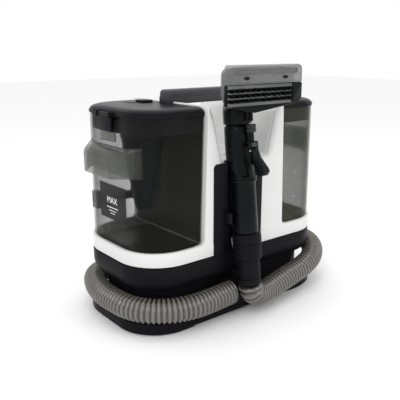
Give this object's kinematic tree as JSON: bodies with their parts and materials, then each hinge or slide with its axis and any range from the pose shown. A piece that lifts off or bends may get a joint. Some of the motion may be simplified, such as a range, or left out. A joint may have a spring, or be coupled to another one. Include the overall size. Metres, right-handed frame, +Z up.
{
  "type": "carpet cleaner machine",
  "caption": "Portable spot carpet cleaner with lift-off clear tanks, a carry handle, and a trigger spray gun docked on the front with its corrugated hose round the foot.",
  "frame": {"origin": "on the floor, under the middle of the white band", "axes": "+X along the length towards the clean-water tank, +Y towards the back, +Z up"},
  "size_m": [0.4242, 0.2821, 0.375],
  "materials": {
    "black_satin": "satin moulded",
    "black_gloss": "polished moulded",
    "handle_grey": "fine spark-eroded texture",
    "white_gloss": "polished moulded",
    "smoke_clear": "clear tinted plastic",
    "light_clear": "clear plastic",
    "dark_clear": "dark tinted plastic",
    "grey_rubber": "matte",
    "hose_grey": "ribbed, half clear",
    "brush_grey": "satin",
    "bristle_black": "matte",
    "steel": "zinc plated",
    "float_orange": "satin",
    "board_green": "lacquered",
    "inner_grey": "as moulded"
  },
  "bodies": {
    "machine": {"base_foot": "black_satin", "foot_pads": "grey_rubber", "foot_screws": "steel", "chassis": "black_satin", "hose_port": "black_satin", "deck": "white_gloss", "front_shell": "white_gloss", "rear_shell": "white_gloss", "dock_panel": "black_satin", "rear_panel": "black_satin", "rear_screws": "steel", "handle_top": "handle_grey", "handle_bottom": "handle_grey", "handle_screws": "steel", "saddle_cover": "white_gloss", "cord_gland": "black_satin", "motor_housing": "inner_grey", "motor": "steel", "water_pump": "inner_grey", "suction_duct": "inner_grey", "circuit_board": "board_green", "valve_seat": "grey_rubber", "hose": "hose_grey"},
    "rotor": {"fan": "inner_grey", "motor_shaft": "steel"},
    "dirty_tank": {"dirty_tank": "smoke_clear"},
    "dirty_lid": {"dirty_lid": "black_gloss", "dirty_lid_seal": "grey_rubber", "separator_cone": "dark_clear", "dirty_latch_pin": "steel"},
    "dirty_latch": {"dirty_latch": "black_satin"},
    "float": {"float_ball": "float_orange"},
    "clean_tank": {"clean_tank": "smoke_clear", "clean_valve_body": "inner_grey"},
    "clean_lid": {"clean_lid": "black_gloss", "clean_lid_seal": "grey_rubber", "clean_latch_pin": "steel"},
    "clean_latch": {"clean_latch": "black_satin"},
    "valve_plunger": {"valve_plunger": "inner_grey"},
    "gun": {"gun_shell_left": "black_gloss", "gun_shell_right": "black_gloss", "cuff_lower": "black_gloss", "cuff_upper": "black_gloss", "spray_line": "black_satin", "gun_screws": "steel", "trigger_pin": "steel"},
    "trigger": {"trigger": "black_satin"},
    "nozzle": {"nozzle_funnel": "light_clear", "nozzle_pipe": "black_satin", "suction_lip": "light_clear", "brush_plate": "brush_grey", "bristles": "bristle_black", "nozzle_cap": "black_gloss"},
    "power_button": {"power_button": "black_satin"},
    "cord_hook_left": {"cord_hook_left": "black_satin"},
    "cord_hook_right": {"cord_hook_right": "black_satin"}
  },
  "joints": [
    {"name": "rotor_spin", "type": "hinge", "parent": "machine", "child": "rotor", "pos_m": [0, 0.015, 0.15], "axis": [0, 0, 1], "continuous": true},
    {"name": "dirty_tank_lift", "type": "slide", "parent": "machine", "child": "dirty_tank", "axis": [0, 0, 1], "range_m": [0, 0.24]},
    {"name": "dirty_lid_lift", "type": "slide", "parent": "dirty_tank", "child": "dirty_lid", "axis": [0, 0, 1], "range_m": [0, 0.15]},
    {"name": "dirty_latch_swing", "type": "hinge", "parent": "dirty_lid", "child": "dirty_latch", "pos_m": [-0.1805, 0, 0.3092], "axis": [0, 1, 0], "range_deg": [0, 25]},
    {"name": "float_rise", "type": "slide", "parent": "dirty_lid", "child": "float", "axis": [0, 0, 1], "range_m": [0, 0.04]},
    {"name": "clean_tank_lift", "type": "slide", "parent": "machine", "child": "clean_tank", "axis": [0, 0, 1], "range_m": [0, 0.24]},
    {"name": "clean_lid_lift", "type": "slide", "parent": "clean_tank", "child": "clean_lid", "axis": [0, 0, 1], "range_m": [0, 0.08]},
    {"name": "clean_latch_swing", "type": "hinge", "parent": "clean_lid", "child": "clean_latch", "pos_m": [0.1805, 0, 0.3092], "axis": [0, -1, 0], "range_deg": [0, 25]},
    {"name": "valve_lift", "type": "slide", "parent": "clean_tank", "child": "valve_plunger", "axis": [0, 0, 1], "range_m": [0, 0.003], "stiffness_N_per_m": 200, "springref_m": -0.001},
    {"name": "gun_pull", "type": "slide", "parent": "machine", "child": "gun", "axis": [0, -0.9932, 0.1167], "range_m": [0, 0.06]},
    {"name": "trigger_pull", "type": "hinge", "parent": "gun", "child": "trigger", "pos_m": [-0.017, -0.12461, 0.25756], "axis": [1, 0, 0], "range_deg": [0, 12], "stiffness_Nm_per_rad": 0.6, "springref_deg": -8.59},
    {"name": "nozzle_lift", "type": "slide", "parent": "gun", "child": "nozzle", "axis": [0, 0.1167, 0.9932], "range_m": [0, 0.03]},
    {"name": "button_press", "type": "slide", "parent": "machine", "child": "power_button", "axis": [0, 0, -1], "range_m": [0, 0.0025], "stiffness_N_per_m": 400, "springref_m": -0.001},
    {"name": "cord_hook_left_turn", "type": "hinge", "parent": "machine", "child": "cord_hook_left", "pos_m": [-0.068, 0.1, 0.16], "axis": [0, -1, 0], "range_deg": [0, 90]},
    {"name": "cord_hook_right_turn", "type": "hinge", "parent": "machine", "child": "cord_hook_right", "pos_m": [0.068, 0.1, 0.16], "axis": [0, 1, 0], "range_deg": [0, 90]}
  ]
}
